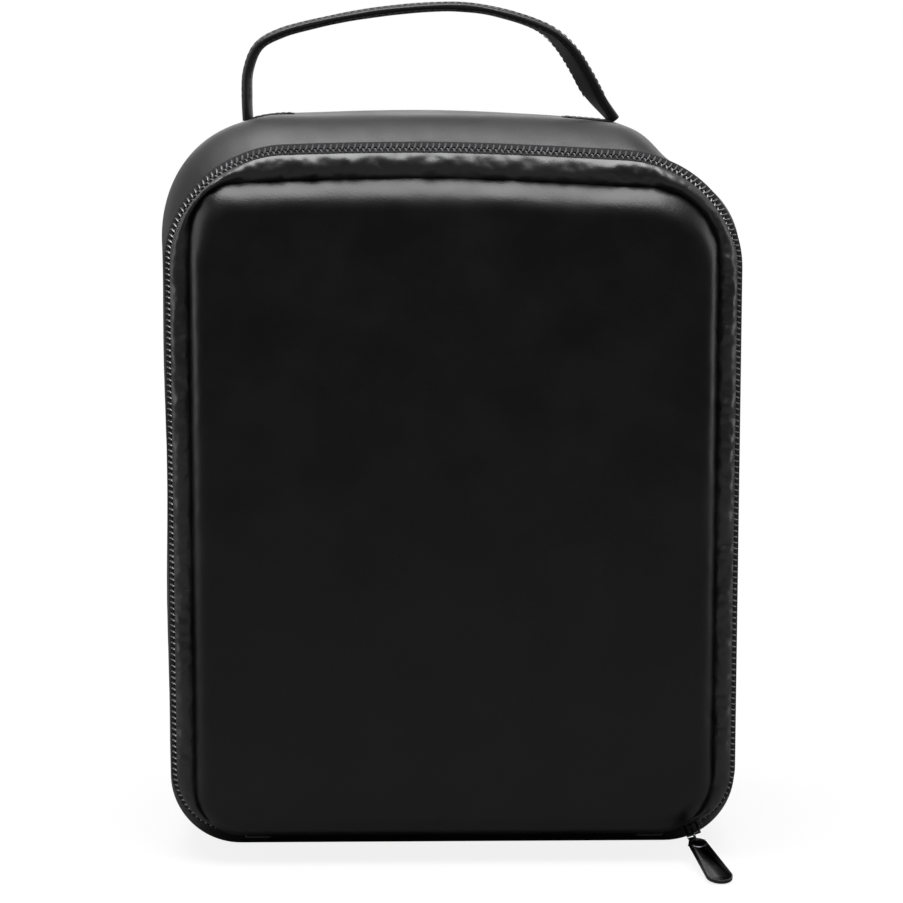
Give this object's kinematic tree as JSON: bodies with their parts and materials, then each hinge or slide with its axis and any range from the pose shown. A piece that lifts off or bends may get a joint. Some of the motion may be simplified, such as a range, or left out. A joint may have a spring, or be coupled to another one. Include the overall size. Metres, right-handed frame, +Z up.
{
  "type": "golf shoe bag",
  "caption": "Upright padded shoe bag in black imitation leather, with a puffed front door zipped round its sides and top, and a carrying strap.",
  "frame": {"origin": "on the floor, at the middle of the flat of the base, at mid-depth of the bag", "axes": "+Z up; the door and its puffed panel face -Y; +X to the right of someone who looks at the door"},
  "size_m": [0.282, 0.1908, 0.4045],
  "materials": {
    "outer_leather": "fine-grained black imitation leather, satin",
    "border_leather": "gathered soft black imitation leather",
    "lining_cloth": "black plain-weave polyester lining",
    "padding_foam": "soft closed-cell foam",
    "stiffener_board": "matt sheet board",
    "zip_tape": "woven zip tape",
    "zip_coil": "satin nylon coil",
    "dark_metal": "black nickel, glossy",
    "strap_leather": "fine-grained black imitation leather strap",
    "webbing": "woven webbing",
    "binding_tape": "ribbed binding tape"
  },
  "bodies": {
    "bag": {"upper_gusset": "outer_leather", "base_panel": "outer_leather", "gusset_foam": "padding_foam", "base_foam": "padding_foam", "body_lining": "lining_cloth", "base_board": "lining_cloth", "front_binding": "binding_tape", "back_binding": "binding_tape", "back_panel": "outer_leather", "back_foam": "padding_foam", "back_board": "stiffener_board", "back_lining": "lining_cloth", "back_piping": "border_leather", "body_zip_tape": "zip_tape", "body_zip_teeth": "zip_coil", "zip_stops": "dark_metal", "zip_end_tabs": "border_leather", "hinge_strip_base": "border_leather", "handle_tabs": "strap_leather", "handle_patches": "webbing"},
    "door": {"door_panel": "outer_leather", "door_foam": "padding_foam", "door_board": "stiffener_board", "door_lining": "lining_cloth", "door_border": "border_leather", "door_zip_tape": "zip_tape", "door_zip_teeth": "zip_coil", "hinge_strip_door": "border_leather"},
    "slider": {"zip_slider": "dark_metal", "slider_bridge": "dark_metal"},
    "link": {"pull_link": "dark_metal"},
    "pull": {"zip_pull": "dark_metal"},
    "handle": {"handle_cover": "strap_leather", "handle_webbing": "webbing"}
  },
  "joints": [
    {"name": "door_hinge", "type": "hinge", "parent": "bag", "child": "door", "pos_m": [0, -0.069, 0.0125], "axis": [1, 0, 0], "range_deg": [0, 90]},
    {"name": "slider_travel", "type": "hinge", "parent": "bag", "child": "slider", "pos_m": [0.1035, 0, 0.044], "axis": [0, -1, 0], "range_deg": [0, 60]},
    {"name": "link_swing", "type": "hinge", "parent": "slider", "child": "link", "pos_m": [0.11496, -0.07062, 0.0125], "axis": [-0.9397, 0, -0.342], "range_deg": [0, 50]},
    {"name": "pull_swing", "type": "hinge", "parent": "link", "child": "pull", "pos_m": [0.1159, -0.07651, 0.00992], "axis": [0.0487, -0.2109, 0.9763], "range_deg": [-40, 40]},
    {"name": "handle_swing", "type": "hinge", "parent": "bag", "child": "handle", "pos_m": [-0.101, 0, 0.35213], "axis": [0.9996, 0, 0.0277], "range_deg": [-40, 40]}
  ],
  "couplings": [
    {"joint": "slider_travel", "follows": "door_hinge", "ratio": 0.66667}
  ]
}
